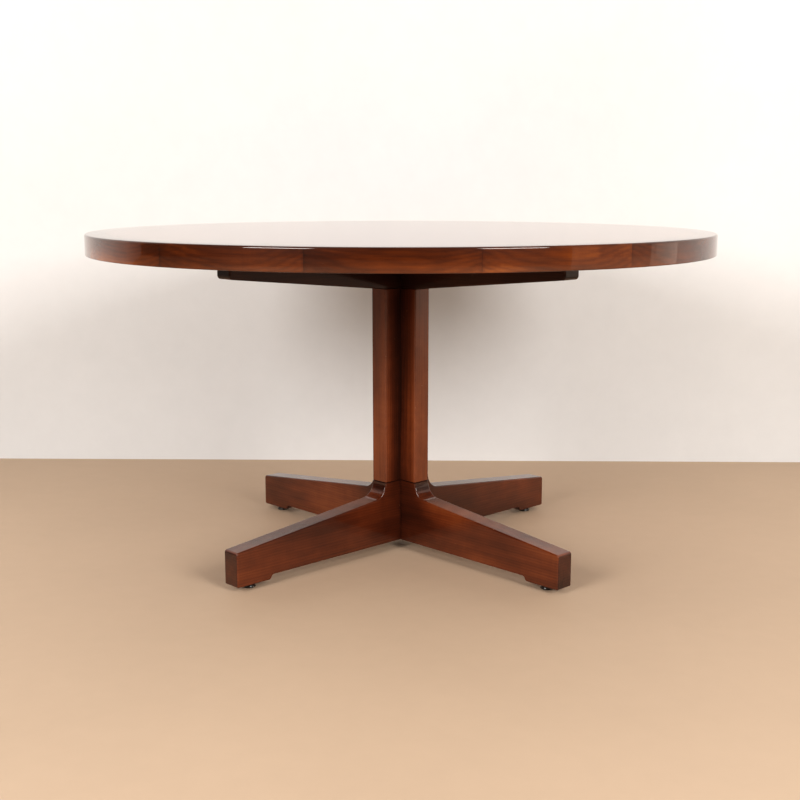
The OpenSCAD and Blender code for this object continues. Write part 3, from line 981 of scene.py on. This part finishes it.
def rim_profile():
    """A rim block in section: two rounded arrises outside and the tongue's groove inside."""
    height = top_z - top_under
    upper = 0.004
    lower = 0.002
    groove = 0.0031
    groove_r = field_r + 0.0141
    middle = top_under + height / 2
    return np.vstack([
        [[field_r, top_under]],
        arc((top_r - lower, top_under + lower), lower, -90, 0, 6),
        arc((top_r - upper, top_z - upper), upper, 0, 90, 10),
        [[field_r, top_z], [field_r, middle + groove], [groove_r, middle + groove],
         [groove_r, middle - groove], [field_r, middle - groove]],
    ])


profile = rim_profile()
for k in range(rim_count):
    name = f"rim_segment_{k + 1:02d}"
    middle = -90 + k * 360 / rim_count
    swing = np.radians(middle + np.linspace(-0.5, 0.5, 49) * 360 / rim_count)
    points = np.stack([profile[None, :, 0] * np.cos(swing)[:, None],
                       profile[None, :, 0] * np.sin(swing)[:, None],
                       profile[None, :, 1] + 0 * swing[:, None]], -1)
    block = solid(f"rim_{k + 1:02d}", points, grid_faces(*points.shape[:2]), crease=28)
    pith_r = top_r - 0.09 - 0.02 * (k % 3)
    pith = on_diagonal(middle, pith_r, top_under - 0.03 - 0.012 * (k % 4))
    share = (points[..., 2].ravel() - top_under) / (top_z - top_under)
    cut_from(block, pith, on_diagonal(middle + 90, 1, 0), up, 10 + k,
             tones[k] + 0.2 * (0.5 - share))
    fit_out(block, rim_finish, "table", "rim_wood", name)

# ---- Face and backing veneers -----------------------------------------------------
# The core is faced above and below. The face is book-matched: each leaf is the mirror
# image of its neighbour, so the figure opens out on both sides of every joint.


def veneer(name, stops, leaf, coat, coat_roughness):
    """Book-matched veneer on a level face. Position across the leaves is folded like a
    fan, |2 frac(y / 2 leaf) - 1| times leaf, so neighbours mirror each other; each leaf's
    pith lies under its middle and drifts along it, which draws tall cathedrals."""
    finish = Finish(name, specular_ior_level=0.1, coat_weight=coat,
                    coat_roughness=coat_roughness, coat_ior=1.5)
    place = finish.object_place()
    along, across = finish.parts(place)[:2]
    folded = ((across / (2 * leaf)).fraction() * 2 - 1).absolute() * leaf
    board = finish.node("ShaderNodeCombineXYZ", {}, {0: along, 1: folded, 2: 0.0})
    bend = finish.noise(finish.stretch(board, (1.5, 7, 1)), 1, 3)
    drift = finish.noise(finish.stretch(board, (0.9, 1.2, 1)), 1, 1)
    side = folded - leaf * 0.45 + 0.03 * drift
    under = 0.035 + 0.045 * along + 0.04 * drift
    from_pith = (side ** 2.0 + under ** 2.0) ** 0.5
    ring = ((from_pith / 0.0066 + 1.6 * bend).fraction() * 2 - 1).absolute()
    late = ring ** 1.6 * (0.55 + 1.6 * finish.noise(finish.stretch(board, (1.1, 26, 1)), 1, 2))
    band = finish.noise(finish.stretch(board, (0.8, 42, 1)), 1, 4, 0.6)
    streak = finish.noise(finish.stretch(board, (5, 320, 1)), 1, 6, 0.62)
    fibre = finish.noise(finish.stretch(board, (34, 2000, 1)), 1, 3, 0.6)
    pore = finish.noise(finish.stretch(board, (110, 2300, 1)), 1, 1).step(0.12, 0.24)
    patch = finish.noise(finish.stretch(board, (3, 11, 1)), 1, 3)
    light = (0.56 + 0.4 * patch - 0.24 * late + 0.55 * band + 0.4 * streak
             + 0.14 * fibre - 0.2 * pore)
    finish.set("Base Color", finish.ramp(light, stops))
    finish.set("Roughness", 0.4 + 0.2 * fibre)
    finish.bump(0.5 * fibre - pore, 0.00003)
    return finish


face_finish = veneer("face veneer", [
    (0.0, (0.030, 0.0060, 0.0022)),
    (0.3, (0.085, 0.0190, 0.0055)),
    (0.55, (0.180, 0.0440, 0.0120)),
    (0.8, (0.300, 0.0880, 0.0260)),
    (1.0, (0.400, 0.1400, 0.0480)),
], 0.215, 1.0, 0.05)
back_finish = veneer("backing veneer", [
    (0.0, (0.060, 0.0270, 0.0140)),
    (0.5, (0.170, 0.0800, 0.0400)),
    (1.0, (0.300, 0.1600, 0.0850)),
], 0.3, 0.25, 0.3)

veneer_r = field_r - 0.0001
for name, finish in (("face", face_finish), ("backing", back_finish)):
    node = f"{name}_veneer"
    low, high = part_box(node)
    sheet = lathe(f"{name}_sheet", [veneer_r / 2, veneer_r, veneer_r, veneer_r / 2],
                  [low.z, low.z, high.z, high.z], steps=rim_count * 48)
    fit_out(sheet, finish, "table", node, node)

# ---- Studio -----------------------------------------------------------------------
# A plain pale floor and a white wall close behind the table. Two large soft boxes stand
# in front, a weak one hangs overhead, and two warm panels at the right gleam in the rim.


def sheet_of(name, corners, colour, rough):
    """A flat stage surface with four corners and a faint unevenness in its colour. It can
    be seen through from behind, so that it hides nothing from below or from the back."""
    mesh = bpy.data.meshes.new(name)
    mesh.from_pydata(corners, [], [list(range(4))])
    piece = bpy.data.objects.new(name, mesh)
    bpy.context.scene.collection.objects.link(piece)
    finish = Finish(name, specular_ior_level=0.2)
    place = finish.object_place()
    cloud = finish.noise(place, 1.4, 5) + 0.35 * finish.noise(place, 22, 4, 0.6)
    darker = tuple(0.86 * c for c in colour)
    finish.set("Base Color", finish.mix(0.5 + cloud, (*colour, 1), (*darker, 1)))
    finish.set("Roughness", rough)
    back = finish.node("ShaderNodeNewGeometry", output="Backfacing")
    clear = finish.node("ShaderNodeBsdfTransparent")
    shader = Wire(finish, finish.shader.outputs[0])
    shown = finish.node("ShaderNodeMixShader", {}, {0: back, 1: shader, 2: clear})
    output = finish.tree.nodes["Material Output"]
    finish.tree.links.new(shown.socket, output.inputs[0])
    mesh.materials.append(finish.material)
    return piece


wall_y = 0.885
sheet_of("floor", [(-9, -9, 0), (9, -9, 0), (9, 9, 0), (-9, 9, 0)], (0.55, 0.41, 0.294), 0.6)
sheet_of("wall", [(-9, wall_y, 0), (9, wall_y, 0), (9, wall_y, 5), (-9, wall_y, 5)],
         (0.72, 0.718, 0.716), 0.8)


def soft_box(name, place, aim, size, watts, colour):
    """A square area light that looks at aim."""
    lamp = bpy.data.lights.new(name, "AREA")
    lamp.shape = "SQUARE"
    lamp.size = size
    lamp.energy = watts
    lamp.color = colour
    light = bpy.data.objects.new(name, lamp)
    bpy.context.scene.collection.objects.link(light)
    light.location = place
    way = np.array(aim) - np.array(place)
    level = math.hypot(way[0], way[1])
    light.rotation_euler = (math.atan2(level, -way[2]), 0, math.atan2(way[1], way[0]) - math.pi / 2)


soft_box("key", (3.0, -3.8, 2.4), (0, 0, 0.5), 1.9, 186, (1.0, 0.97, 0.94))
soft_box("fill", (-3.0, -3.7, 2.3), (0, 0, 0.5), 1.9, 172, (1.0, 0.97, 0.95))
soft_box("ceiling", (0, 0.1, 3.6), (0, 0.2, 0), 3.2, 12, (1.0, 0.98, 0.96))
soft_box("side panel", (3.7, 0.36, 0.51), (0, 0.36, 0.51), 1.02, 2.0, (1.0, 0.76, 0.60))
soft_box("side wash", (3.75, -0.85, 1.3), (0, -0.85, 1.3), 3.4, 15, (1.0, 0.84, 0.72))

world = bpy.data.worlds.new("studio air")
world.use_nodes = True
world.node_tree.nodes["Background"].inputs[0].default_value = (1.0, 0.97, 0.93, 1)
world.node_tree.nodes["Background"].inputs[1].default_value = 0.42
world.cycles_visibility.glossy = False
bpy.context.scene.world = world
bpy.context.scene.view_settings.view_transform = "Standard"
bpy.context.scene.view_settings.look = "Medium High Contrast"

camera = bpy.data.cameras.new("camera")
camera.lens = 55.9
camera.sensor_width = 36
viewer = bpy.data.objects.new("camera", camera)
bpy.context.scene.collection.objects.link(viewer)
viewer.location = (0.058, -2.81, 0.844)
viewer.rotation_euler = (math.pi / 2 - 0.176, 0, 0.0213)
bpy.context.scene.camera = viewer
